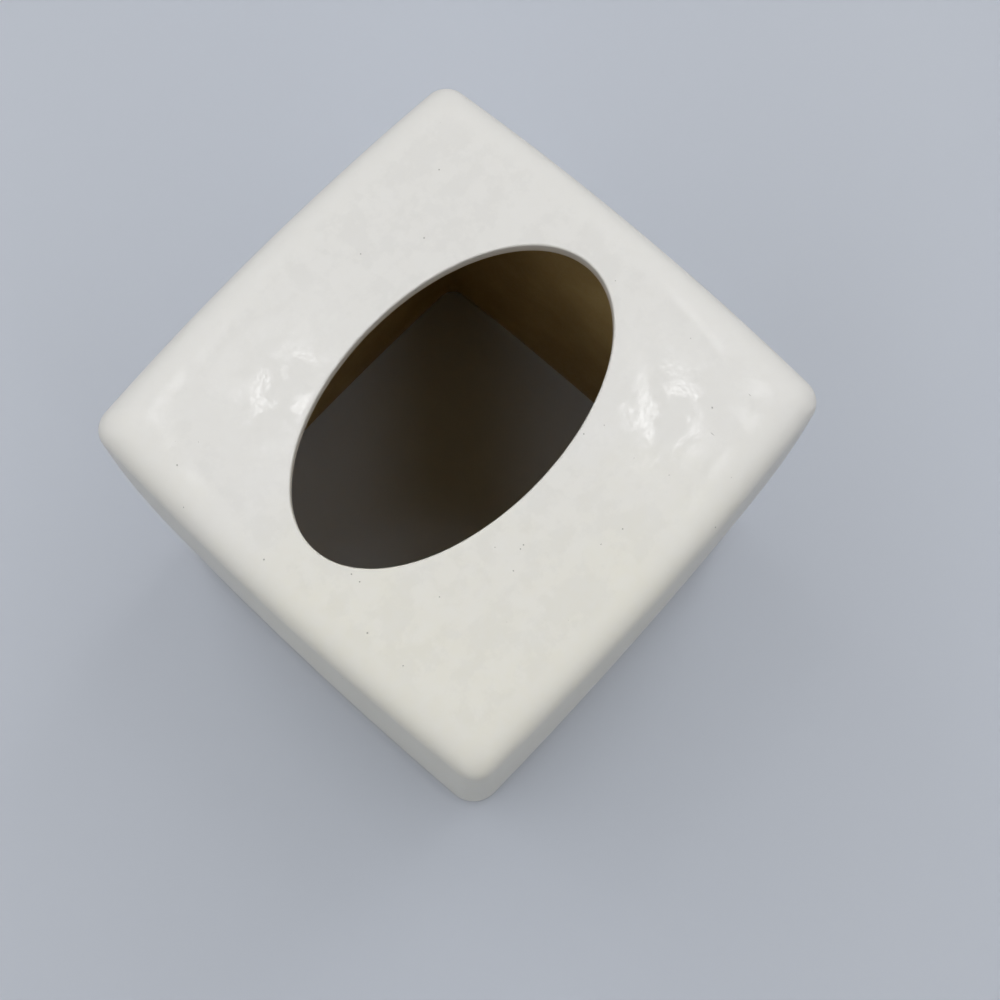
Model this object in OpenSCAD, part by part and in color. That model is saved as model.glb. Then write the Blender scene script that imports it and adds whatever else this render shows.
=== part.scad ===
// Square tissue box cover. A slip-cast shell, open underneath, drops over a cube
// carton, and the tissues come up through the oval opening in its top. The four
// sides bow outwards, the corners and the shoulder are soft, the top is slightly
// crowned, and the foot rim stands on four thin corner pads.
// The origin is the middle of the footprint on the table, with +Z up and the
// long way of the opening along X.

/* [Overall size] */
// Width and depth across the middle of the sides, where the cover is widest
cover_w = 130; // [120:1:150]
// Height from the table to the level of the crown's centre
cover_h = 135; // [100:1:160]

/* [Shell] */
// Thickness of the cast wall
wall_t = 4; // [3:0.25:5.5]
// How far the middle of a side stands out beyond its ends
side_bow = 1.5; // [0.5:0.1:3]
// How far a wall draws in from the shoulder down to the foot
foot_draw = 0.7; // [0:0.1:1.5]
// Radius of the four upright corners
corner_r = 9; // [8:0.5:16]
// Radius of the shoulder between the sides and the top
shoulder_r = 11; // [8:0.5:16]
// Radius of the corners of the top, inside the shoulder
top_corner_r = 5; // [3:0.5:8]
// How much lower the top lies at the middle of a side than at its centre
crown_h = 0.9; // [0:0.1:2]
// Radius on both edges of the foot rim
foot_edge_r = 0.6; // [0.2:0.1:0.8]

/* [Opening] */
// Length of the oval opening
opening_l = 94.8; // [76:0.2:96]
// Width of the oval opening
opening_w = 54.4; // [40:0.2:64]
// How far the opening lies behind the middle of the top
opening_back = 2; // [-3:0.5:3]
// Radius on the upper edge of the opening
lip_r = 2; // [0.8:0.1:2]
// Radius on the lower edge of the opening
lip_under_r = 0.8; // [0.3:0.1:0.9]

/* [Corner pads] */
// Thickness of a pad
pad_t = 1.2; // [0.8:0.1:2]
// Distance from a pad's edge to the edge of the rim's flat face
pad_margin = 0.2; // [0.1:0.05:0.3]
// Length of each leg of a pad beyond the corner's curve
pad_leg = 9; // [4:1:20]

/* [Smoothness] */
// Facets along one side
side_n = 12; // [8:2:16]
// Facets round one upright corner
corner_n = 8; // [6:2:10]
// Facets up the shoulder
shoulder_n = 8; // [6:1:10]

/* [Hidden] */

// A side or a corner takes a quarter turn, and a full outline four of them
quarter = 90;
outline_n = 4 * (side_n + corner_n);

// Rings on the stretches of the section that are nearly straight
wall_n = 5;
top_n = 6;
lip_n = 5;
edge_n = 3;
// Facets round each end of a pad
pad_end_n = 8;

half_w = cover_w / 2;
shell_h = cover_h - pad_t;
// On a small cover the shoulder ends where the lip of the opening begins
outer_shoulder_r = min(shoulder_r, half_w - opening_l / 2 - lip_r);
shoulder_z = cover_h - outer_shoulder_r;
ceiling_z = cover_h - wall_t;
inner_corner_r = corner_r - wall_t;
inner_shoulder_r = outer_shoulder_r - wall_t;
inner_top_corner_r = top_corner_r * inner_corner_r / corner_r;

// Pads lie along the middle of the rim's flat face
pad_w = wall_t - 2 * (foot_edge_r + pad_margin);
corner_mid_r = corner_r - wall_t / 2;

// A bowed square is four long arcs joined by four corner arcs that touch them.
// These give the radius and the centre of a side's arc, the centre of the corner
// arcs, and the angle that a side faces at the point where its corner begins.
function bow_r(half, bow) = (pow(half - bow, 2) + bow * bow) / (2 * bow);
function bow_x(half, bow) = half - bow_r(half, bow);
function corner_c(half, bow, r) =
    let (x = bow_x(half, bow), reach = bow_r(half, bow) - r)
    (x + sqrt(2 * reach * reach - x * x)) / 2;
function corner_turn(half, bow, r) =
    let (c = corner_c(half, bow, r))
    atan2(c, c - bow_x(half, bow));

function turned(p, angle) =
    [p.x * cos(angle) - p.y * sin(angle), p.x * sin(angle) + p.y * cos(angle)];

// Points of a bowed square, counter-clockwise, a side and then its corner
function bowed_square(half, bow, r) =
    let (
        turn = corner_turn(half, bow, r),
        c = corner_c(half, bow, r),
        side_x = bow_x(half, bow),
        side_r = bow_r(half, bow)
    )
    [for (q = [0:3], i = [0:side_n + corner_n - 1])
        let (
            on_side = i < side_n,
            facing = on_side
                ? turn * (2 * i / side_n - 1)
                : turn + (quarter - 2 * turn) * (i - side_n) / corner_n,
            p = on_side
                ? [side_x + side_r * cos(facing), side_r * sin(facing)]
                : [c + r * cos(facing), c + r * sin(facing)]
        )
        turned(p, quarter * q)];

// The same number of points round the opening, each towards its outline point
bearings = [for (p = bowed_square(half_w, side_bow, corner_r)) atan2(p.y, p.x)];
function oval(grow) =
    [for (a = bearings)
        [(opening_l / 2 + grow) * cos(a), opening_back + (opening_w / 2 + grow) * sin(a)]];

function blended(from, to, t) = [for (i = [0:outline_n - 1]) from[i] * (1 - t) + to[i] * t];
function lifted(outline, z) = [for (p = outline) [p.x, p.y, z]];

// The crown lowers each upright line of the shell in proportion to its height
function crowned(ring) =
    [for (p = ring)
        let (drop = crown_h * (p.x * p.x + p.y * p.y) / (half_w * half_w))
        [p.x, p.y, pad_t + (p.z - pad_t) * (1 - drop / shell_h)]];

// How far the wall has drawn in at a height
function draw_in(z) = foot_draw * pow(max(0, (shoulder_z - z) / (shoulder_z - pad_t)), 2);

// One ring of a wall: inset from the widest outline, with the corner radius there
function wall_ring(z, inset, r) =
    lifted(bowed_square(half_w - draw_in(z) - inset, side_bow, r), z);

function outer_foot() =
    [for (k = [0:edge_n])
        let (a = quarter * k / edge_n, inset = foot_edge_r * (1 - sin(a)))
        wall_ring(pad_t + foot_edge_r * (1 - cos(a)), inset, corner_r - inset)];

function outer_wall() =
    [for (k = [1:wall_n - 1])
        wall_ring(pad_t + foot_edge_r + (shoulder_z - pad_t - foot_edge_r) * k / wall_n,
                  0, corner_r)];

function shoulder(r, z0, inset0, r_low, r_high, steps) =
    [for (k = steps)
        let (a = quarter * k / shoulder_n, share = 1 - cos(a))
        wall_ring(z0 + r * sin(a), inset0 + r * share, r_low + (r_high - r_low) * share)];

function outer_shoulder() =
    shoulder(outer_shoulder_r, shoulder_z, 0, corner_r, top_corner_r, [0:shoulder_n]);

function top_face() =
    let (edge = bowed_square(half_w - outer_shoulder_r, side_bow, top_corner_r))
    [for (k = [1:top_n - 1]) lifted(blended(edge, oval(lip_r), k / top_n), cover_h)];

function lip_upper() =
    [for (k = [0:lip_n])
        let (a = quarter * k / lip_n)
        lifted(oval(lip_r * (1 - sin(a))), cover_h - lip_r * (1 - cos(a)))];

function lip_lower() =
    [for (k = [0:edge_n])
        let (a = quarter * k / edge_n)
        lifted(oval(lip_under_r * (1 - cos(a))), ceiling_z + lip_under_r * (1 - sin(a)))];

function ceiling_face() =
    let (edge = bowed_square(half_w - outer_shoulder_r, side_bow, inner_top_corner_r))
    [for (k = [1:top_n - 1]) lifted(blended(oval(lip_under_r), edge, k / top_n), ceiling_z)];

function inner_shoulder() =
    shoulder(inner_shoulder_r, shoulder_z, wall_t, inner_corner_r, inner_top_corner_r,
             [shoulder_n:-1:0]);

function inner_wall() =
    [for (k = [wall_n - 1:-1:1])
        wall_ring(pad_t + foot_edge_r + (shoulder_z - pad_t - foot_edge_r) * k / wall_n,
                  wall_t, inner_corner_r)];

function inner_foot() =
    [for (k = [edge_n:-1:0])
        let (a = quarter * k / edge_n, grow = foot_edge_r * (1 - sin(a)))
        wall_ring(pad_t + foot_edge_r * (1 - cos(a)), wall_t - grow, inner_corner_r + grow)];

// Joins closed rings into one skin, and the last ring back to the first
module ring_skin(rings) {
    n = len(rings[0]);
    count = len(rings);
    points = [for (ring = rings, p = ring) p];
    faces = [for (j = [0:count - 1], i = [0:n - 1], half = [0, 1])
        let (
            a = j * n + i,
            b = j * n + (i + 1) % n,
            c = (j + 1) % count * n + (i + 1) % n,
            d = (j + 1) % count * n + i
        )
        half == 0 ? [a, c, b] : [a, d, c]];
    polyhedron(points, faces);
}

// The shell's section runs up the outside, over the lip of the opening, and back
// down the inside to the foot
module cover_shell() {
    color("ivory")
        ring_skin([for (ring = concat(outer_foot(), outer_wall(), outer_shoulder(),
                                      top_face(), lip_upper(), lip_lower(),
                                      ceiling_face(), inner_shoulder(), inner_wall(),
                                      inner_foot()))
            crowned(ring)]);
}

// Outline of the pad under the corner of the first quarter: a band along the
// middle of the rim, round at both ends. The second leg mirrors the first.
function pad_outline() =
    let (
        half = half_w - draw_in(pad_t),
        c = corner_c(half, side_bow, corner_r),
        turn = corner_turn(half, side_bow, corner_r),
        side_mid_r = bow_r(half, side_bow) - wall_t / 2,
        end_facing = turn - atan2(pad_leg, side_mid_r),
        end = [bow_x(half, side_bow) + side_mid_r * cos(end_facing), side_mid_r * sin(end_facing)],
        curve = [for (i = [0:corner_n]) turn + (quarter - 2 * turn) * i / corner_n]
    )
    concat(
        arc_points(end, pad_w / 2, end_facing + 2 * quarter, end_facing + 4 * quarter),
        [for (f = curve) [c, c] + (corner_mid_r + pad_w / 2) * [cos(f), sin(f)]],
        arc_points([end.y, end.x], pad_w / 2, quarter - end_facing, 3 * quarter - end_facing),
        [for (i = [corner_n:-1:0])
            [c, c] + (corner_mid_r - pad_w / 2) * [cos(curve[i]), sin(curve[i])]]);

function arc_points(middle, r, from, to) =
    [for (k = [0:pad_end_n])
        let (a = from + (to - from) * k / pad_end_n)
        middle + r * [cos(a), sin(a)]];

module corner_pad() {
    linear_extrude(pad_t) polygon(pad_outline());
}

module pad_front_left() {
    color("gainsboro") rotate(2 * quarter) corner_pad();
}

module pad_front_right() {
    color("gainsboro") rotate(3 * quarter) corner_pad();
}

module pad_back_left() {
    color("gainsboro") rotate(quarter) corner_pad();
}

module pad_back_right() {
    color("gainsboro") corner_pad();
}

cover_shell();
pad_front_left();
pad_front_right();
pad_back_left();
pad_back_right();
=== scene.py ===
# %% [markdown]
# A glazed tissue box cover.
# The real object is one slip-cast shell, ivory glaze outside and bare tan clay inside,
# standing on four thin foam pads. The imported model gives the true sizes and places.
# This lesson builds the shell again as a smooth surface from the same rule, glazes it,
# and lights it the way a softly lit table top is lit.

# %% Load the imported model
import math

import bpy
import mathutils
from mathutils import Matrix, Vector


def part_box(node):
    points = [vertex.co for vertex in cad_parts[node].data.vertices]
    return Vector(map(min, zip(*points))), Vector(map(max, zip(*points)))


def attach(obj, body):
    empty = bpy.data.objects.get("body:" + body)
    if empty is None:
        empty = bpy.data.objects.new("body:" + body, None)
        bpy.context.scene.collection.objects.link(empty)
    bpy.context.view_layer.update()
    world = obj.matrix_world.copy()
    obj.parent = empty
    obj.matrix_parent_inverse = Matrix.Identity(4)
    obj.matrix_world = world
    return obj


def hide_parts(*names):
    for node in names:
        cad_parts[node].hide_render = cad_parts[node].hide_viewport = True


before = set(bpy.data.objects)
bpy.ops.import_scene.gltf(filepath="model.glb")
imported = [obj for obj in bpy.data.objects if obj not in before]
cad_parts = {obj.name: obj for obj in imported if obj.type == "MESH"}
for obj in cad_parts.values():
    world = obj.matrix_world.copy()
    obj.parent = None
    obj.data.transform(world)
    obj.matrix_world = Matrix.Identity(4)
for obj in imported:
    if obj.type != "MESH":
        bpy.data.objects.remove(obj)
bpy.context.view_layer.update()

print("nodes:", sorted(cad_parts))

# %% [markdown]
# The camera comes first, because everything is judged through it. The photograph looks
# steeply down over the front left corner. Its direction, distance and lens were found by
# fitting the edges of the cover to the edges in the picture.

# %% Camera
MM = 0.001
PHOTO_W = 1000
SENSOR_MM = 36.0
LENS_PX = 1449.9
CAMERA_AZIMUTH = math.radians(-52.38)
CAMERA_ELEVATION = math.radians(76.41)
CAMERA_ROLL = math.radians(4.70)
CAMERA_DISTANCE = 332.4 * MM
CAMERA_TARGET = mathutils.Vector((-10.0, -21.7, 133.4)) * MM


def direction(azimuth, elevation):
    """A unit vector, from an azimuth that starts at -Y and a height above the horizon."""
    flat = math.cos(elevation)
    return mathutils.Vector((math.sin(azimuth) * flat, -math.cos(azimuth) * flat,
                             math.sin(elevation)))


def make_camera():
    data = bpy.data.cameras.new("camera")
    data.sensor_width = SENSOR_MM
    data.lens = LENS_PX / PHOTO_W * SENSOR_MM
    camera = bpy.data.objects.new("camera", data)
    back = direction(CAMERA_AZIMUTH, CAMERA_ELEVATION)
    level = mathutils.Vector((math.cos(CAMERA_AZIMUTH), math.sin(CAMERA_AZIMUTH), 0.0))
    upright = back.cross(level)
    right = math.cos(CAMERA_ROLL) * level + math.sin(CAMERA_ROLL) * upright
    up = back.cross(right)
    turn = mathutils.Matrix((right, up, back)).transposed().to_4x4()
    camera.matrix_world = (
        mathutils.Matrix.Translation(CAMERA_TARGET + back * CAMERA_DISTANCE) @ turn
    )
    bpy.context.scene.collection.objects.link(camera)
    bpy.context.scene.camera = camera
    return camera


camera = make_camera()
camera_place = camera.matrix_world.translation
print("camera stands at, in mm:", [round(v / MM, 1) for v in camera_place])

# %% [markdown]
# Most sizes of the shell are driving sizes of the design, and the overall width is read
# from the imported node. Close shading in the picture tells more than its edges did: the
# wall leans in a little below the shoulder, the shoulder stays flat for long and then
# turns fast, the upright corners get tighter towards the top, and the lip is crisper.
# The last six sizes say so. They belong to the smooth surface alone, and so does an opening
# that is 0.8 mm shorter and 0.4 mm narrower than in the design, and set back 0.4 mm less.
# The surface stays inside the solid's box. It lies up to 1.7 mm below the solid at the
# corners of the shoulder, and inside the cover the wall is up to 2.4 mm thicker there.

# %% Sizes of the shell
low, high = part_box("cover_shell")
WIDTH = high.x - low.x
FOOT_Z = low.z
HEIGHT = 135.0 * MM
WALL = 4.0 * MM
SIDE_BOW = 1.5 * MM
FOOT_DRAW = 0.7 * MM
CORNER_R = 9.0 * MM
TOP_CORNER_R = 5.0 * MM
CROWN = 0.9 * MM
FOOT_EDGE_R = 0.6 * MM
OPENING_L = 94.0 * MM
OPENING_W = 54.0 * MM
OPENING_BACK = 1.6 * MM
LIP_UNDER_R = 0.8 * MM

SHOULDER_LEAN = 1.2 * MM
SHOULDER_REACH = 14.0 * MM
SHOULDER_DROP = 8.0 * MM
HIGH_CORNER_R = 6.0 * MM
HIGH_BOW = 2.2 * MM
LIP_R = 0.6 * MM
print("shell:", round(WIDTH / MM, 1), "mm wide, foot at", round(FOOT_Z / MM, 2), "mm")

# %% [markdown]
# Both the surface rule and the glaze need arithmetic in nodes. A formula reads better as
# a formula, so this small class stands for a number in a node tree, and adding or
# multiplying it places the Math node and its links.


# %% Arithmetic in nodes
def feed(tree, value, socket):
    """Links a field to a socket, or types a plain value into it."""
    if isinstance(value, Field):
        tree.links.new(value.socket, socket)
    else:
        socket.default_value = value


class Field:
    """A number that may change over the surface, as the output of some node."""

    def __init__(self, tree, socket):
        self.tree = tree
        self.socket = socket

    def calculate(self, operation, *values):
        node = self.tree.nodes.new("ShaderNodeMath")
        node.operation = operation
        for value, socket in zip(values, node.inputs):
            feed(self.tree, value, socket)
        return Field(self.tree, node.outputs[0])

    def __add__(self, other):
        return self.calculate("ADD", self, other)

    def __radd__(self, other):
        return self.calculate("ADD", other, self)

    def __sub__(self, other):
        return self.calculate("SUBTRACT", self, other)

    def __rsub__(self, other):
        return self.calculate("SUBTRACT", other, self)

    def __mul__(self, other):
        return self.calculate("MULTIPLY", self, other)

    def __rmul__(self, other):
        return self.calculate("MULTIPLY", other, self)

    def __truediv__(self, other):
        return self.calculate("DIVIDE", self, other)

    def __rtruediv__(self, other):
        return self.calculate("DIVIDE", other, self)

    def function(self, operation, *others):
        return self.calculate(operation, self, *others)

    def sin(self):
        return self.function("SINE")

    def cos(self):
        return self.function("COSINE")

    def squared(self):
        return self * self

    def at_least(self, floor):
        return self.function("MAXIMUM", floor)

    def at_most(self, ceiling):
        return self.function("MINIMUM", ceiling)


def mixed(low_value, high_value, share):
    return low_value + (high_value - low_value) * share


def combined(tree, x, y, z):
    node = tree.nodes.new("ShaderNodeCombineXYZ")
    for value, socket in zip((x, y, z), node.inputs):
        feed(tree, value, socket)
    return Field(tree, node.outputs[0])


def separated(tree, vector):
    node = tree.nodes.new("ShaderNodeSeparateXYZ")
    feed(tree, vector, node.inputs[0])
    return [Field(tree, socket) for socket in node.outputs]


def node_with(tree, kind, settings=(), **inputs):
    """A node of some kind with its settings made and its named inputs fed."""
    node = tree.nodes.new(kind)
    for name, value in dict(settings).items():
        setattr(node, name, value)
    for name, value in inputs.items():
        feed(tree, value, node.inputs[name.replace("_", " ")])
    return node


def new_group(name, kind, inputs, outputs):
    """A node group with named sockets. Gives the tree, its inputs as fields, its end."""
    tree = bpy.data.node_groups.new(name, kind)
    for label, socket_kind in inputs:
        tree.interface.new_socket(label, in_out="INPUT", socket_type=socket_kind)
    for label, socket_kind in outputs:
        tree.interface.new_socket(label, in_out="OUTPUT", socket_type=socket_kind)
    source = tree.nodes.new("NodeGroupInput")
    result = tree.nodes.new("NodeGroupOutput")
    given = {label: Field(tree, source.outputs[label]) for label, _ in inputs}
    return tree, given, result


print("arithmetic is ready")

# %% [markdown]
# Seen from above, the cover is a bowed square: four long arcs joined by four corner arcs
# that touch them. One group gives the point at any share of the way round, so every
# level of the shell can use it with its own width and corner radius.

# %% The bowed square as a node group
FLOAT = "NodeSocketFloat"
VECTOR = "NodeSocketVector"
GEOMETRY = "NodeSocketGeometry"
QUARTER = math.pi / 2
SIDE_SHARE = 0.72


def bowed_square_group():
    tree, given, result = new_group(
        "bowed square", "GeometryNodeTree",
        [("Around", FLOAT), ("Half width", FLOAT), ("Bow", FLOAT),
         ("Corner radius", FLOAT)],
        [("X", FLOAT), ("Y", FLOAT)],
    )
    half, bow, corner_r = given["Half width"], given["Bow"], given["Corner radius"]
    side_r = ((half - bow).squared() + bow.squared()) / (bow * 2.0)
    side_x = half - side_r
    reach = side_r - corner_r
    corner = (side_x + (reach.squared() * 2.0 - side_x.squared()).function("SQRT")) / 2.0
    turn = corner.function("ARCTAN2", corner - side_x)

    quarters = given["Around"] * 4.0
    quarter = quarters.function("FLOOR")
    share = quarters - quarter
    in_corner = share.function("GREATER_THAN", SIDE_SHARE)
    along_side = turn * (share * (2.0 / SIDE_SHARE) - 1.0)
    corner_share = (share - SIDE_SHARE) / (1.0 - SIDE_SHARE)
    round_corner = turn + (QUARTER - turn * 2.0) * corner_share
    facing = mixed(along_side, round_corner, in_corner)

    radius = mixed(side_r, corner_r, in_corner)
    x = mixed(side_x, corner, in_corner) + radius * facing.cos()
    y = corner * in_corner + radius * facing.sin()
    angle = quarter * QUARTER
    feed(tree, x * angle.cos() - y * angle.sin(), result.inputs["X"])
    feed(tree, x * angle.sin() + y * angle.cos(), result.inputs["Y"])
    return tree


bowed_square = bowed_square_group()
print("bowed square:", len(bowed_square.nodes), "nodes")

# %% [markdown]
# The shell's section is a chain of short stretches: foot edge, wall, shoulder, top, lip of
# the opening, and back down the inside. A Geometry Nodes tree can follow such a rule. Its
# named inputs are the sizes, so the same tree would also make a taller or a wider cover.
# A slip-cast wall is never perfectly even, so two of the inputs say how much, and where,
# it wanders.

# %% Sizes that the shell's tree takes
SIZES = {
    "Width": WIDTH,
    "Height": HEIGHT,
    "Foot level": FOOT_Z,
    "Wall": WALL,
    "Side bow": SIDE_BOW,
    "Bow at the shoulder": HIGH_BOW,
    "Foot draw": FOOT_DRAW,
    "Shoulder lean": SHOULDER_LEAN,
    "Corner radius": CORNER_R,
    "Corner radius at the shoulder": HIGH_CORNER_R,
    "Shoulder reach": SHOULDER_REACH,
    "Shoulder drop": SHOULDER_DROP,
    "Top corner radius": TOP_CORNER_R,
    "Crown": CROWN,
    "Foot edge radius": FOOT_EDGE_R,
    "Opening length": OPENING_L,
    "Opening width": OPENING_W,
    "Opening set back": OPENING_BACK,
    "Lip radius": LIP_R,
    "Lip under radius": LIP_UNDER_R,
    "Unevenness": 0.16 * MM,
    "Waviness seed": 7.0,
}
print("the tree takes", len(SIZES), "values")

# %% [markdown]
# A stretch is a row of five things: its name, how many rings it has, whether it is inside,
# how thin the glaze is along it, and a rule that gives the ring at any share t of its
# length. These are the rows of the outside. The foot edge was wiped, so the glaze is thin
# there and fades in over a low band of the wall. A plain arc would turn the shoulder too
# evenly: the real one stays flat for longer, so the sines of its arc are squared off.

# %% Stretches of the outside
SHOULDER_POWER = 2.0 / 3.0
THIN_ABOVE_FOOT = 0.4
WALL_OVER_THIN_BAND = 24.0


def square_ring(z, inset, corner_r):
    """A bowed square: its height, how far it lies inwards, and its corner radius."""
    return {"z": z, "inset": inset, "corner": corner_r}


def squared_off(sine):
    """Turns the sine of a plain arc into that of one that stays flat for longer."""
    return sine.at_least(0.0).function("POWER", SHOULDER_POWER)


def outside_stretches(size):
    reach, drop = size["Shoulder reach"], size["Shoulder drop"]
    shoulder_z = size["Height"] - drop
    edge = size["Foot edge radius"]
    wall_low = size["Foot level"] + edge
    corner, high_corner = size["Corner radius"], size["Corner radius at the shoulder"]

    def foot(t):
        a = t * QUARTER
        inset = edge * (1.0 - a.sin())
        return square_ring(wall_low - edge * a.cos(), inset, corner - inset)

    def wall(t):
        return square_ring(mixed(wall_low, shoulder_z, t), 0.0,
                           mixed(corner, high_corner, t))

    def shoulder(t):
        a = t * QUARTER
        share = 1.0 - squared_off(a.cos())
        return square_ring(shoulder_z + drop * squared_off(a.sin()), reach * share,
                           mixed(high_corner, size["Top corner radius"], share))

    def thin_at_foot(t):
        return mixed(1.0, THIN_ABOVE_FOOT, t)

    def thin_above_foot(t):
        return THIN_ABOVE_FOOT * (1.0 - t * WALL_OVER_THIN_BAND).at_least(0.0)

    return [
        ("outer foot", 5, False, thin_at_foot, foot),
        ("outer wall", 44, False, thin_above_foot, wall),
        ("outer shoulder", 26, False, lambda t: 0.0, shoulder),
    ]


wall_height = HEIGHT - SHOULDER_DROP - FOOT_Z - FOOT_EDGE_R
thin_band = wall_height / WALL_OVER_THIN_BAND
print("the wall's band of thin glaze is", round(thin_band / MM, 1), "mm high")

# %% [markdown]
# The top runs from the bowed square of the shoulder to the oval of the opening, so its
# rings hold both shapes and a blend between them. The skin then turns over the lip, down
# through the throat and out under the ceiling. Those rings are plain ovals, which only
# say how far they have grown past the opening.

# %% Stretches of the top and the opening
THIN_ON_LIP = 0.2
THIN_IN_THROAT = 0.55


def opening_stretches(size):
    height, lip, under = size["Height"], size["Lip radius"], size["Lip under radius"]
    ceiling_z = height - size["Wall"]

    def top(t):
        return {"z": height, "inset": size["Shoulder reach"],
                "corner": size["Top corner radius"], "blend": t, "grow": lip}

    def lip_upper(t):
        a = t * QUARTER
        return {"z": height - lip * (1.0 - a.cos()), "grow": lip * (1.0 - a.sin())}

    def throat(t):
        return {"z": mixed(height - lip, ceiling_z + under, t), "grow": 0.0}

    def lip_lower(t):
        a = t * QUARTER
        return {"z": ceiling_z + under * (1.0 - a.sin()), "grow": under * (1.0 - a.cos())}

    return [
        ("top", 26, False, lambda t: 0.0, top),
        ("lip upper", 10, False, lambda t: t * THIN_ON_LIP, lip_upper),
        ("throat", 4, False, lambda t: mixed(THIN_ON_LIP, THIN_IN_THROAT, t), throat),
        ("lip lower", 7, False, lambda t: mixed(THIN_IN_THROAT, 1.0, t), lip_lower),
    ]


print("the throat is", round((WALL - LIP_R - LIP_UNDER_R) / MM, 1), "mm deep")

# %% [markdown]
# Inside, the slip left a wall of nearly even thickness, so the rings follow the outside at
# that distance, and only the corners under the shoulder come out thicker. The last stretch
# is the flat foot face, which closes the skin where it began.

# %% Stretches of the inside


def inside_stretches(size):
    thickness, drop, edge = size["Wall"], size["Shoulder drop"], size["Foot edge radius"]
    ceiling_z = size["Height"] - thickness
    wall_low = size["Foot level"] + edge
    corner = size["Corner radius"]
    inner_corner = corner - thickness
    inner_top_corner = size["Top corner radius"] * (inner_corner / corner)

    def ceiling(t):
        return {"z": ceiling_z, "inset": thickness + drop, "corner": inner_top_corner,
                "blend": 1.0 - t, "grow": size["Lip under radius"]}

    def shoulder(t):
        a = (1.0 - t) * QUARTER
        share = 1.0 - a.cos()
        return square_ring(ceiling_z - drop * (1.0 - a.sin()), thickness + drop * share,
                           mixed(inner_corner, inner_top_corner, share))

    def wall(t):
        return square_ring(mixed(ceiling_z - drop, wall_low, t), thickness, inner_corner)

    def foot(t):
        a = (1.0 - t) * QUARTER
        grow = edge * (1.0 - a.sin())
        return square_ring(wall_low - edge * a.cos(), thickness - grow, inner_corner + grow)

    def foot_face(t):
        inset = mixed(thickness - edge, edge, t)
        return square_ring(size["Foot level"], inset, corner - inset)

    def bare(t):
        return 1.0

    return [
        ("ceiling", 10, True, bare, ceiling),
        ("inner shoulder", 10, True, bare, shoulder),
        ("inner wall", 24, True, bare, wall),
        ("inner foot", 4, True, bare, foot),
        ("foot face", 3, True, bare, foot_face),
    ]


print("the inside is", round((WIDTH - 2 * WALL) / MM, 1), "mm wide")

# %% [markdown]
# A ring only holds sizes. These helpers turn it into the place of a point at any share of
# the way round. The wall isn't straight from foot to shoulder: it draws in at both ends
# and bows out between them, and its sides bow more towards the shoulder.

# %% A point on a ring


def square_point(tree, around, half, bow, corner_r):
    node = tree.nodes.new("GeometryNodeGroup")
    node.node_tree = bowed_square
    for label, value in (("Around", around), ("Half width", half),
                         ("Bow", bow), ("Corner radius", corner_r)):
        feed(tree, value, node.inputs[label])
    return Field(tree, node.outputs["X"]), Field(tree, node.outputs["Y"])


def oval_point(tree, size, around, grow):
    """A point of the opening's oval, on the bearing of the wall's point at that share."""
    x, y = square_point(tree, around, size["Width"] / 2.0, size["Side bow"],
                        size["Corner radius"])
    bearing = y.function("ARCTAN2", x)
    return ((size["Opening length"] / 2.0 + grow) * bearing.cos(),
            (size["Opening width"] / 2.0 + grow) * bearing.sin() + size["Opening set back"])


def ring_point(tree, size, around, ring):
    if "inset" not in ring:
        return oval_point(tree, size, around, ring["grow"])
    shoulder_z = size["Height"] - size["Shoulder drop"]
    sunk = ((shoulder_z - ring["z"]) / (shoulder_z - size["Foot level"])).at_least(0.0)
    drawn_in = (mixed(size["Shoulder lean"], size["Foot draw"], sunk)
                * (sunk * 2.0 - 1.0).squared())
    half = size["Width"] / 2.0 - drawn_in - ring["inset"]
    bow = mixed(size["Bow at the shoulder"], size["Side bow"], sunk)
    square = square_point(tree, around, half, bow, ring["corner"])
    if "blend" not in ring:
        return square
    oval = oval_point(tree, size, around, ring["grow"])
    return [mixed(a, b, ring["blend"]) for a, b in zip(square, oval)]


print("the wall draws in", round(SHOULDER_LEAN / MM, 1), "mm at the shoulder and",
      round(FOOT_DRAW / MM, 1), "mm at the foot")

# %% [markdown]
# Each stretch becomes a grid, one way along the section and the other way round the cover,
# whose points are moved to the rule's place. The crown of the top is made by pressing every
# height down a little, the more the further out it lies. Three values are stored on the
# mesh for the finishes: how thin the glaze is, whether it pooled to a glassy coat, as it
# does on the top and where the shoulder is still flat, and whether the clay is bare.

# %% One stretch as a grid
AROUND = 256
POOL_STARTS = 0.76
POOL_FADES = 0.12


def pooled_share(name, along):
    if name == "outer shoulder":
        return ((along - POOL_STARTS) / POOL_FADES).at_least(0.0).at_most(1.0)
    return 1.0 if name == "top" else 0.0


def stored(tree, geometry, name, value, settings=()):
    node = node_with(tree, "GeometryNodeStoreNamedAttribute", settings, Name=name,
                     Geometry=geometry, Value=value)
    return Field(tree, node.outputs[0])


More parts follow.
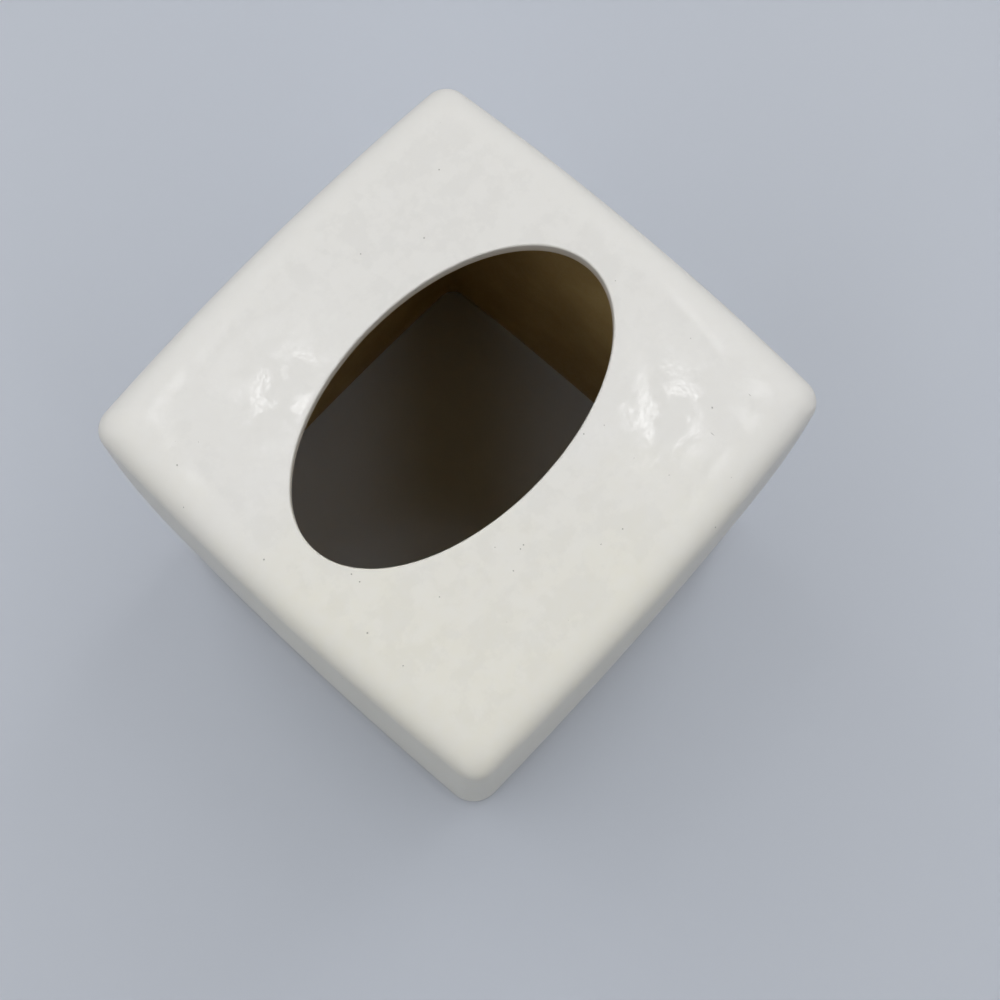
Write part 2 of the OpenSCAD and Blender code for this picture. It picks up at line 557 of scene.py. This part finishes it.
def stretch_grid(tree, size, name, rings, inside, thinness, rule):
    grid = node_with(tree, "GeometryNodeMeshGrid", Vertices_X=AROUND + 1,
                     Vertices_Y=rings + 1)
    around, along, _ = separated(tree, Field(tree, grid.outputs["UV Map"]))
    ring = rule(along)
    x, y = ring_point(tree, size, around, ring)
    half_w = size["Width"] / 2.0
    pressed = size["Crown"] * ((x.squared() + y.squared()) / half_w.squared())
    rise = ring["z"] - size["Foot level"]
    z = size["Foot level"] + rise * (1.0 - pressed / (size["Height"] - size["Foot level"]))
    moved = node_with(tree, "GeometryNodeSetPosition",
                      Geometry=Field(tree, grid.outputs["Mesh"]),
                      Position=combined(tree, x, y, z))
    moved.label = name
    mesh = stored(tree, Field(tree, moved.outputs[0]), "thin_glaze", thinness(along))
    mesh = stored(tree, mesh, "pooled_glaze", pooled_share(name, along))
    return stored(tree, mesh, "bare_clay", inside,
                  {"data_type": "BOOLEAN", "domain": "FACE"})


print("each ring has", AROUND, "points")

# %% [markdown]
# Neighbouring grids share their edge, so joining and merging them closes the whole skin.
# The surface then sinks a little here and there along its normals, but not at the foot,
# which was wiped flat. The tree ends with the two finishes, chosen by the stored mark.

# %% The whole tree
MERGE_GAP = 0.01 * MM
WAVE_SCALE = 34.0
WAVE_DETAIL = 1.5
WAVE_ROUGHNESS = 0.45
WIPED_BAND = 8.0 * MM


def uneven_surface(tree, size, mesh):
    place = Field(tree, tree.nodes.new("GeometryNodeInputPosition").outputs[0])
    normal = Field(tree, tree.nodes.new("GeometryNodeInputNormal").outputs[0])
    waves = node_with(tree, "ShaderNodeTexNoise", {"noise_dimensions": "4D"},
                      Vector=place, W=size["Waviness seed"], Scale=WAVE_SCALE,
                      Detail=WAVE_DETAIL, Roughness=WAVE_ROUGHNESS)
    height = separated(tree, place)[2]
    off_foot = ((height - size["Foot level"]) / WIPED_BAND).at_least(0.0).at_most(1.0)
    sink = size["Unevenness"] * Field(tree, waves.outputs["Fac"]) * off_foot
    inward = tree.nodes.new("ShaderNodeVectorMath")
    inward.operation = "SCALE"
    feed(tree, normal, inward.inputs[0])
    feed(tree, sink * -1.0, inward.inputs["Scale"])
    moved = node_with(tree, "GeometryNodeSetPosition", Geometry=mesh,
                      Offset=Field(tree, inward.outputs[0]))
    return Field(tree, moved.outputs[0])


def shell_tree(glaze, clay):
    labels = [(label, FLOAT) for label in SIZES]
    tree, size, result = new_group("tissue cover shell", "GeometryNodeTree", labels,
                                   [("Geometry", GEOMETRY)])
    joined = tree.nodes.new("GeometryNodeJoinGeometry")
    stretches = outside_stretches(size) + opening_stretches(size) + inside_stretches(size)
    for stretch in stretches:
        feed(tree, stretch_grid(tree, size, *stretch), joined.inputs[0])
    merged = node_with(tree, "GeometryNodeMergeByDistance", Distance=MERGE_GAP,
                       Geometry=Field(tree, joined.outputs[0]))
    uneven = uneven_surface(tree, size, Field(tree, merged.outputs[0]))
    smooth = node_with(tree, "GeometryNodeSetShadeSmooth", Geometry=uneven)
    real = node_with(tree, "GeometryNodeRealizeInstances",
                     Geometry=Field(tree, smooth.outputs[0]))
    glazed = node_with(tree, "GeometryNodeSetMaterial", Material=glaze,
                       Geometry=Field(tree, real.outputs[0]))
    bare = node_with(tree, "GeometryNodeInputNamedAttribute", {"data_type": "BOOLEAN"},
                     Name="bare_clay")
    clayed = node_with(tree, "GeometryNodeSetMaterial", Material=clay,
                       Geometry=Field(tree, glazed.outputs[0]),
                       Selection=Field(tree, bare.outputs["Attribute"]))
    feed(tree, Field(tree, clayed.outputs[0]), result.inputs["Geometry"])
    return tree


print("the foot was wiped up to", round(WIPED_BAND / MM, 1), "mm")

# %% [markdown]
# Specks and unevenness show in every fired surface, in glaze and clay alike. They are
# shader groups, so each finish can place them with its own values. Both read Object
# coordinates, which stay put when the camera moves.

# %% Shared effects: specks and mottle
SHADER = "ShaderNodeTree"
SMALLEST_SPECK = 0.5
SPECK_EDGE = 3.0
PATCH_DETAIL = 2.0
GRAIN_DETAIL = 3.0
PATCHES_FROM = 0.3
PATCHES_FULL = 0.7


def specks_group():
    """Tiny dark points, where the surface cuts through a few chosen cells of a lattice."""
    tree, given, result = new_group(
        "fired specks", SHADER,
        [("Vector", VECTOR), ("Cell size", FLOAT), ("Radius", FLOAT),
         ("Share of cells", FLOAT)],
        [("Mask", FLOAT)],
    )
    scale = 1.0 / given["Cell size"]
    cells = node_with(tree, "ShaderNodeTexVoronoi", Vector=given["Vector"], Scale=scale,
                      Randomness=1.0)
    chance, size_draw, _ = separated(tree, Field(tree, cells.outputs["Color"]))
    chosen = chance.function("LESS_THAN", given["Share of cells"])
    radius = given["Radius"] * scale * mixed(SMALLEST_SPECK, 1.0, size_draw)
    distance = Field(tree, cells.outputs["Distance"])
    soft = (1.0 - distance / radius) * SPECK_EDGE
    feed(tree, soft.at_least(0.0).at_most(1.0) * chosen, result.inputs["Mask"])
    return tree


def mottle_group():
    """Soft cloudy patches from 0 to 1, and a finer grain of the same kind."""
    tree, given, result = new_group(
        "fired mottle", SHADER,
        [("Vector", VECTOR), ("Patch size", FLOAT), ("Grain size", FLOAT)],
        [("Patches", FLOAT), ("Grain", FLOAT)],
    )
    for size, output, detail in (("Patch size", "Patches", PATCH_DETAIL),
                                 ("Grain size", "Grain", GRAIN_DETAIL)):
        cloud = node_with(tree, "ShaderNodeTexNoise", Vector=given["Vector"],
                          Scale=1.0 / given[size], Detail=detail, Roughness=0.5)
        spread = node_with(tree, "ShaderNodeMapRange", {"interpolation_type": "SMOOTHSTEP"},
                           Value=Field(tree, cloud.outputs["Fac"]),
                           From_Min=PATCHES_FROM, From_Max=PATCHES_FULL)
        feed(tree, Field(tree, spread.outputs["Result"]), result.inputs[output])
    return tree


specks = specks_group()
mottle = mottle_group()
print("shared effects:", specks.name, "and", mottle.name)

# %% [markdown]
# A finish is a Principled shader with fields feeding its colour, roughness and bump. The
# helper starts one and gives its Object coordinates.


# %% Helpers for finishes
def new_finish(name):
    material = bpy.data.materials.new(name)
    material.use_nodes = True
    tree = material.node_tree
    shader = tree.nodes["Principled BSDF"]
    coordinates = tree.nodes.new("ShaderNodeTexCoord")
    return material, tree, shader, Field(tree, coordinates.outputs["Object"])


def place_group(tree, group, **values):
    node = tree.nodes.new("ShaderNodeGroup")
    node.node_tree = group
    for name, value in values.items():
        feed(tree, value, node.inputs[name.replace("_", " ")])
    return {socket.name: Field(tree, socket) for socket in node.outputs}


def color_mix(tree, base, other, share):
    """One colour laid over another by a share from 0 to 1."""
    node = tree.nodes.new("ShaderNodeMix")
    node.data_type = "RGBA"
    feed(tree, share, node.inputs["Factor"])
    for value, name in ((base, "A"), (other, "B")):
        socket = next(s for s in node.inputs if s.name == name and s.type == "RGBA")
        feed(tree, value, socket)
    return Field(tree, next(s for s in node.outputs if s.type == "RGBA"))


def noise(tree, vector, size, detail=2.0, roughness=0.5):
    node = node_with(tree, "ShaderNodeTexNoise", Vector=vector, Scale=1.0 / size,
                     Detail=detail, Roughness=roughness)
    return Field(tree, node.outputs["Fac"])


def bump(tree, shader, height, layer="Normal"):
    """Bends the shading of a layer as if the surface had this height, in metres."""
    node = node_with(tree, "ShaderNodeBump", Height=height, Distance=1.0, Strength=1.0)
    tree.links.new(node.outputs["Normal"], shader.inputs[layer])


print("helpers for finishes are ready")

# %% [markdown]
# The glaze is the face of the object. It is warm ivory with faint cloudy patches, a few
# dark pits and short drying marks. Towards the front left it is painted a little creamier:
# a painted reflection tint, standing in for the cool reflection that the rest of the top
# catches. The pits are painted dark for the shade in their hollows. Noise and specks alone
# give all of that, so no picture is needed. Where the glaze runs thin, at the lower edge of
# the lip and along the foot, the tan clay shows through.

# %% Colour of the glaze
IVORY = (0.775, 0.765, 0.735, 1.0)
IVORY_CREAM = (0.785, 0.768, 0.692, 1.0)
IVORY_PALE = (0.80, 0.795, 0.775, 1.0)
GLAZE_OVER_CLAY = (0.50, 0.40, 0.27, 1.0)
SPECK_BROWN = (0.10, 0.085, 0.07, 1.0)
# Where the painted reflection tint towards the front left starts, how far it grows, and how
# much it drifts
CREAM_STARTS = -10 * MM
CREAM_FADES = 60 * MM
CREAM_DRIFT = 1.6
PALE_SHARE = 0.25
PITS_ANYWHERE = 0.005
CROWDED_FROM = 0.3
CROWDED_PITS = 0.03
# Painted shade: how dark the pits are painted, for the shade in their hollows
PIT_SHADE = 0.5
MARK_SHADE = 0.4
MARK_TURN = (0.4, 0.3, 0.9)
MARK_STRETCH = (1.0, 0.22, 1.0)


def glaze_flaws(tree, here, patches):
    """Pits, which crowd together in some patches, and marks, which are stretched specks."""
    crowded = (patches - CROWDED_FROM).at_least(0.0) * CROWDED_PITS
    pits = place_group(tree, specks, Vector=here, Cell_size=1.2 * MM, Radius=0.27 * MM,
                       Share_of_cells=PITS_ANYWHERE + crowded)["Mask"]
    turned = node_with(tree, "ShaderNodeMapping", Vector=here, Rotation=MARK_TURN,
                       Scale=MARK_STRETCH)
    marks = place_group(tree, specks, Vector=Field(tree, turned.outputs[0]),
                        Cell_size=2.6 * MM, Radius=0.16 * MM, Share_of_cells=0.05)["Mask"]
    return pits, marks


def stored_value(tree, name):
    """A value that the shell's tree stored on the mesh."""
    node = node_with(tree, "ShaderNodeAttribute", {"attribute_name": name})
    return Field(tree, node.outputs["Fac"])


def glaze_color(tree, here, grain, pits, marks):
    x, y, _ = separated(tree, here)
    # Painted reflection: creamier towards the front left, standing in for the cool
    # reflection that the rest of the top catches
    towards_corner = (CREAM_STARTS - x - y) / CREAM_FADES
    drift = noise(tree, here, 30 * MM) - 0.5
    painted_warm_tint = (towards_corner + drift * CREAM_DRIFT).at_least(0.0).at_most(1.0)
    color = color_mix(tree, IVORY, IVORY_CREAM, painted_warm_tint)
    color = color_mix(tree, color, IVORY_PALE, grain * PALE_SHARE)
    color = color_mix(tree, color, GLAZE_OVER_CLAY, stored_value(tree, "thin_glaze"))
    # Painted shade in the pits; the marks below keep the glaze's own dark colour
    color = color_mix(tree, color, SPECK_BROWN, pits * PIT_SHADE)
    return color_mix(tree, color, SPECK_BROWN, marks * MARK_SHADE)


print("where the glaze is thin, it is", GLAZE_OVER_CLAY[:3])

# %% [markdown]
# The glaze is satin for the most part. On the top it pooled to a glassy coat in ragged
# patches that ripple like orange peel, so a lamp's reflection breaks into small glints
# there. A coat layer on top of the satin one gives both, with its own finer bump. Left
# everywhere, it drew hard lines of light on the shoulders and wavy ones on the walls,
# which the real cover doesn't show, so the stored pooled_glaze value holds it back there.

# %% Ivory glaze
SATIN_ROUGHNESS = 0.46
STREAKS_ROUGHER = 0.1
PITS_ROUGHER = 0.2
GLAZE_IOR = 1.45
RIPPLE_HEIGHT = 0.05 * MM
PEEL_HEIGHT = 0.024 * MM
PIT_DEPTH = 0.08 * MM
MARK_DEPTH = 0.02 * MM
GLASSY_FROM = 0.47
GLASSY_EDGE = 12.0
GLASSY_COAT = 0.8
COAT_ROUGHNESS = 0.07


def ivory_glaze():
    material, tree, shader, here = new_finish("ivory_glaze")
    clouds = place_group(tree, mottle, Vector=here, Patch_size=24 * MM, Grain_size=3.5 * MM)
    pits, marks = glaze_flaws(tree, here, clouds["Patches"])
    color = glaze_color(tree, here, clouds["Grain"], pits, marks)
    feed(tree, color, shader.inputs["Base Color"])

    streaks = noise(tree, here, 9 * MM, detail=3.0)
    roughness = SATIN_ROUGHNESS + streaks * STREAKS_ROUGHER + pits * PITS_ROUGHER
    feed(tree, roughness, shader.inputs["Roughness"])
    shader.inputs["IOR"].default_value = GLAZE_IOR
    ripple = noise(tree, here, 6.0 * MM, detail=2.0) * RIPPLE_HEIGHT
    bump(tree, shader, ripple - pits * PIT_DEPTH - marks * MARK_DEPTH)

    ragged = noise(tree, here, 9 * MM, detail=5.0, roughness=0.65)
    glassy = ((ragged - GLASSY_FROM) * GLASSY_EDGE).at_least(0.0).at_most(1.0)
    glassy = glassy * stored_value(tree, "pooled_glaze")
    feed(tree, glassy * GLASSY_COAT, shader.inputs["Coat Weight"])
    shader.inputs["Coat Roughness"].default_value = COAT_ROUGHNESS
    peel = noise(tree, here, 1.0 * MM, detail=2.0) * PEEL_HEIGHT
    bump(tree, shader, ripple + peel, "Coat Normal")
    return material


glaze_finish = ivory_glaze()
print("finish:", glaze_finish.name)

# %% [markdown]
# Inside, the cover is bare fired clay: tan, matt, slightly streaked from the slip that was
# poured out of the mould.

# %% Bare tan clay
CLAY = (0.50, 0.365, 0.155, 1.0)
CLAY_DARK = (0.40, 0.28, 0.11, 1.0)
DARK_CLAY_SHARE = 0.8
CLAY_DOT_SHARE = 0.5
CLAY_ROUGHNESS = 0.62
CLAY_GRAIN_ROUGHER = 0.16
CLAY_GRAIN_HEIGHT = 0.05 * MM
CLAY_DOT_DEPTH = 0.1 * MM


def bare_clay():
    material, tree, shader, here = new_finish("bare_clay")
    clouds = place_group(tree, mottle, Vector=here, Patch_size=18 * MM, Grain_size=1.2 * MM)
    dots = place_group(tree, specks, Vector=here, Cell_size=1.2 * MM, Radius=0.3 * MM,
                       Share_of_cells=0.05)["Mask"]
    color = color_mix(tree, CLAY, CLAY_DARK, clouds["Patches"] * DARK_CLAY_SHARE)
    color = color_mix(tree, color, SPECK_BROWN, dots * CLAY_DOT_SHARE)
    feed(tree, color, shader.inputs["Base Color"])
    roughness = CLAY_ROUGHNESS + clouds["Grain"] * CLAY_GRAIN_ROUGHER
    feed(tree, roughness, shader.inputs["Roughness"])
    bump(tree, shader, clouds["Grain"] * CLAY_GRAIN_HEIGHT - dots * CLAY_DOT_DEPTH)
    return material


clay_finish = bare_clay()
print("finish:", clay_finish.name)

# %% [markdown]
# Now the tree can be used. Each input is set by its identifier, the modifier is
# evaluated once, and its result becomes a plain mesh that stands for the CAD shell.


# %% Build the shell
def plain_mesh_from_tree(name, tree, values):
    piece = bpy.data.objects.new(name, bpy.data.meshes.new(name))
    bpy.context.scene.collection.objects.link(piece)
    modifier = piece.modifiers.new("rule", "NODES")
    modifier.node_group = tree
    for item in tree.interface.items_tree:
        if item.in_out == "INPUT":
            modifier[item.identifier] = values[item.name]
    evaluated = piece.evaluated_get(bpy.context.evaluated_depsgraph_get())
    mesh = bpy.data.meshes.new_from_object(evaluated)
    piece.modifiers.clear()
    piece.data = mesh
    mesh.name = name
    return piece


shell = plain_mesh_from_tree("glazed_shell", shell_tree(glaze_finish, clay_finish), SIZES)
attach(shell, "root")
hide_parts("cover_shell")
print("shell:", len(shell.data.vertices), "points,", len(shell.data.polygons), "faces")

# %% [markdown]
# The pads are cut from pale grey foam rubber sheet. The cut foam shows its open pores as
# fine dots close together, painted dark for the shade inside them, and it is matt all over.

# %% Foam rubber
FOAM = (0.56, 0.56, 0.54, 1.0)
FOAM_PALE = (0.68, 0.68, 0.66, 1.0)
FOAM_PORE = (0.22, 0.22, 0.21, 1.0)
# Painted shade: how dark the pores are painted, for the shade inside them
PORE_SHADE = 0.35
FOAM_ROUGHNESS = 0.75
FOAM_PATCH_ROUGHER = 0.15
FOAM_GRAIN_HEIGHT = 0.03 * MM
PORE_DEPTH = 0.05 * MM


def pad_foam():
    material, tree, shader, here = new_finish("pad_foam")
    clouds = place_group(tree, mottle, Vector=here, Patch_size=6 * MM, Grain_size=0.5 * MM)
    pores = place_group(tree, specks, Vector=here, Cell_size=0.35 * MM, Radius=0.12 * MM,
                        Share_of_cells=0.35)["Mask"]
    color = color_mix(tree, FOAM, FOAM_PALE, clouds["Grain"])
    # Painted shade in the pores
    color = color_mix(tree, color, FOAM_PORE, pores * PORE_SHADE)
    feed(tree, color, shader.inputs["Base Color"])
    roughness = FOAM_ROUGHNESS + clouds["Patches"] * FOAM_PATCH_ROUGHER
    feed(tree, roughness, shader.inputs["Roughness"])
    bump(tree, shader, clouds["Grain"] * FOAM_GRAIN_HEIGHT - pores * PORE_DEPTH)
    return material


foam_finish = pad_foam()
print("finish:", foam_finish.name)

# %% [markdown]
# Each pad is a band under the middle of the rim that goes round one corner, with round
# ends. It is 1.2 mm thick, so from the side it shows as a thin line. One outline is enough:
# it is grown or shrunk a little from level to level, which rounds the edges and lets them
# bulge under the load, and a quarter turn brings it to the next corner.

# %% Outline of a pad
PAD_MARGIN = 0.2 * MM
PAD_LEG = 9.0 * MM
CORNER_STEPS = 12
END_STEPS = 10
# Level as a share of the thickness, and how far the edge stands out there
PAD_EDGE = ((0.0, -0.14 * MM), (0.06, -0.03 * MM), (0.2, 0.05 * MM), (0.5, 0.08 * MM),
            (0.8, 0.05 * MM), (0.94, -0.03 * MM), (1.0, -0.12 * MM))


def arc(middle, radius, start, end, steps):
    return [middle + radius * mathutils.Vector((math.cos(a), math.sin(a)))
            for a in (start + (end - start) * k / steps for k in range(steps + 1))]


def pad_outline(grow):
    """A band along the middle of the rim round one corner, with round ends."""
    half = WIDTH / 2 - FOOT_DRAW
    side_r = ((half - SIDE_BOW) ** 2 + SIDE_BOW ** 2) / (2 * SIDE_BOW)
    side_x = half - side_r
    corner = (side_x + math.sqrt(2 * (side_r - CORNER_R) ** 2 - side_x ** 2)) / 2
    turn = math.atan2(corner, corner - side_x)
    middle_r = CORNER_R - WALL / 2
    reach = WALL / 2 - FOOT_EDGE_R - PAD_MARGIN + grow
    end_facing = turn - math.atan2(PAD_LEG, side_r - WALL / 2)
    end = mathutils.Vector((side_x + (side_r - WALL / 2) * math.cos(end_facing),
                            (side_r - WALL / 2) * math.sin(end_facing)))
    centre = mathutils.Vector((corner, corner))
    far = mathutils.Vector((end.y, end.x))
    return (arc(end, reach, end_facing + math.pi, end_facing + 2 * math.pi, END_STEPS)
            + arc(centre, middle_r + reach, turn, QUARTER - turn, CORNER_STEPS)
            + arc(far, reach, QUARTER - end_facing, 3 * QUARTER - end_facing, END_STEPS)
            + arc(centre, middle_r - reach, QUARTER - turn, turn, CORNER_STEPS))


print("outline of a pad:", len(pad_outline(0.0)), "points")

# %% [markdown]
# The outlines are stacked to a closed pad with a flat face below and above. It is shaded
# smooth, and only the edges that turn by more than 50 degrees stay sharp. A loop makes
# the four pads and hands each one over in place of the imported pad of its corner.

# %% Pads
SHARP_FROM = math.radians(50.0)


def make_pad(name, quarters):
    turn = mathutils.Matrix.Rotation(QUARTER * quarters, 3, "Z")
    rings = [[turn @ p.to_3d() + mathutils.Vector((0, 0, share * FOOT_Z))
              for p in pad_outline(grow)] for share, grow in PAD_EDGE]
    n = len(rings[0])
    faces = [[j * n + i, j * n + (i + 1) % n, (j + 1) * n + (i + 1) % n, (j + 1) * n + i]
             for j in range(len(rings) - 1) for i in range(n)]
    last = (len(rings) - 1) * n
    faces += [list(range(n))[::-1], [last + i for i in range(n)]]
    mesh = bpy.data.meshes.new(name)
    mesh.from_pydata([p for ring in rings for p in ring], [], faces)
    mesh.shade_smooth()
    mesh.set_sharp_from_angle(angle=SHARP_FROM)
    mesh.materials.append(foam_finish)
    piece = bpy.data.objects.new(name, mesh)
    bpy.context.scene.collection.objects.link(piece)
    return piece


CORNERS = ("back_right", "back_left", "front_left", "front_right")
for quarters, corner_name in enumerate(CORNERS):
    pad = make_pad("foam_pad_" + corner_name, quarters)
    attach(pad, "root")
    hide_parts("pad_" + corner_name)
    print("pad:", pad.name, len(pad.data.polygons), "faces")

# %% [markdown]
# The cover stands on a plain pale blue-grey table with a faint soft sheen. The lamps hang
# close, so they light only the near part, and a low view would show a dark table behind it.
# Beyond the picture's edge the table therefore fades into the colour of the backdrop, where
# the camera or a reflection sees it. The near part stays a plain lit table with the shadow.

# %% Table
TABLE_COLOR = (0.58, 0.62, 0.695, 1.0)
TABLE_ROUGHNESS = 0.45
TABLE_HALF = 3.0
BACKDROP_COLOR = (0.97, 0.985, 1.0, 1.0)
BACKDROP = 0.8
FADE_STARTS = 0.30
FADE_WIDTH = 0.60


def seen_by(tree):
    """Two fields: 1 for what the camera sees, and 1 for what a reflection sees."""
    path = tree.nodes.new("ShaderNodeLightPath")
    return (Field(tree, path.outputs["Is Camera Ray"]),
            Field(tree, path.outputs["Is Glossy Ray"]))


def make_table():
    material, tree, shader, here = new_finish("table_top")
    shader.inputs["Base Color"].default_value = TABLE_COLOR
    shader.inputs["Roughness"].default_value = TABLE_ROUGHNESS
    x, y, _ = separated(tree, here)
    away = (x.squared() + y.squared()).function("SQRT")
    faded = ((away - FADE_STARTS) / FADE_WIDTH).at_least(0.0).at_most(1.0)
    camera_ray, glossy_ray = seen_by(tree)
    share = faded.squared() * (3.0 - faded * 2.0) * camera_ray.at_least(glossy_ray)
    far = node_with(tree, "ShaderNodeEmission", Color=BACKDROP_COLOR, Strength=BACKDROP)
    blend = node_with(tree, "ShaderNodeMixShader", Fac=share)
    tree.links.new(shader.outputs[0], blend.inputs[1])
    tree.links.new(far.outputs[0], blend.inputs[2])
    tree.links.new(blend.outputs[0], tree.nodes["Material Output"].inputs["Surface"])
    mesh = bpy.data.meshes.new("table")
    h = TABLE_HALF
    mesh.from_pydata([(-h, -h, 0), (h, -h, 0), (h, h, 0), (-h, h, 0)], [], [(0, 1, 2, 3)])
    mesh.materials.append(material)
    table = bpy.data.objects.new("table", mesh)
    bpy.context.scene.collection.objects.link(table)
    return table


table = make_table()
print("table:", table.name)

# %% [markdown]
# The light was read from the shading in the picture. The floor inside the cover has a dark
# band along the diagonal, so the light can't come from straight above: it comes from two
# sides, through long soft strips that lie along the band, a steep and a flat one on each
# side. Two wide weak lamps beyond the far corner and on the right fill in. High on the far
# side hang two dim lamps with a small brighter one in front of each. They hardly light
# anything. They are there to be mirrored in the glaze, as the two glows on the top with
# their glints. The world only keeps the shadows from going black. The camera sees it as a
# pale backdrop, and so do reflections that look at its low part, near the horizon.

# %% Light
LAMPS = (
    # Name, degrees round from -Y and up from the horizon, distance, length and width in
    # metres, power in watts
    ("right_steep_strip", 45.0, 64.0, 0.6, 1.4, 0.09, 1.02),
    ("left_steep_strip", 225.0, 64.0, 0.6, 1.4, 0.09, 1.07),
    ("right_flat_strip", 45.0, 48.0, 0.6, 1.4, 0.13, 1.78),
    ("left_flat_strip", 225.0, 46.0, 0.6, 1.4, 0.13, 2.10),
    ("far_soft_lamp", 135.0, 35.0, 1.5, 0.9, 0.9, 1.6),
    ("right_soft_lamp", 88.0, 26.0, 1.5, 0.8, 0.8, 2.2),
    ("left_glow_lamp", 163.0, 69.5, 1.5, 0.26, 0.26, 0.28),
    ("right_glow_lamp", 97.0, 69.5, 1.5, 0.26, 0.26, 0.28),
    ("left_glint_lamp", 163.0, 69.5, 1.4, 0.09, 0.09, 0.16),
    ("right_glint_lamp", 97.0, 69.5, 1.4, 0.09, 0.09, 0.16),
)
WORLD_STRENGTH = 0.03
MIRRORED_UP_TO = 0.5
MIRRORED_FADES = 0.25


def make_lamp(name, degrees_round, degrees_up, distance, length, width, power):
    """A rectangular lamp that faces the middle of the top, with its long side level."""
    azimuth, elevation = math.radians(degrees_round), math.radians(degrees_up)
    data = bpy.data.lights.new(name, "AREA")
    data.shape = "RECTANGLE"
    data.size = length
    data.size_y = width
    data.energy = power
    lamp = bpy.data.objects.new(name, data)
    aim = mathutils.Vector((0, 0, HEIGHT))
    away = direction(azimuth, elevation)
    level = mathutils.Vector((math.cos(azimuth), math.sin(azimuth), 0.0))
    turn = mathutils.Matrix((level, away.cross(level), away)).transposed().to_4x4()
    lamp.matrix_world = mathutils.Matrix.Translation(aim + away * distance) @ turn
    lamp.visible_camera = False
    bpy.context.scene.collection.objects.link(lamp)
    return lamp


def make_world():
    """A weak world that shows itself as a pale backdrop."""
    world = bpy.data.worlds.new("soft_room")
    world.use_nodes = True
    tree = world.node_tree
    background = tree.nodes["Background"]
    background.inputs["Color"].default_value = BACKDROP_COLOR
    towards = tree.nodes.new("ShaderNodeTexCoord")
    _, _, height = separated(tree, Field(tree, towards.outputs["Generated"]))
    low_part = ((MIRRORED_UP_TO - height) / MIRRORED_FADES).at_least(0.0).at_most(1.0)
    camera_ray, glossy_ray = seen_by(tree)
    seen = camera_ray.at_least(glossy_ray * low_part)
    feed(tree, mixed(WORLD_STRENGTH, BACKDROP, seen), background.inputs["Strength"])
    bpy.context.scene.world = world


for lamp_values in LAMPS:
    print("lamp:", make_lamp(*lamp_values).name)
make_world()
bpy.context.scene.view_settings.view_transform = "Standard"
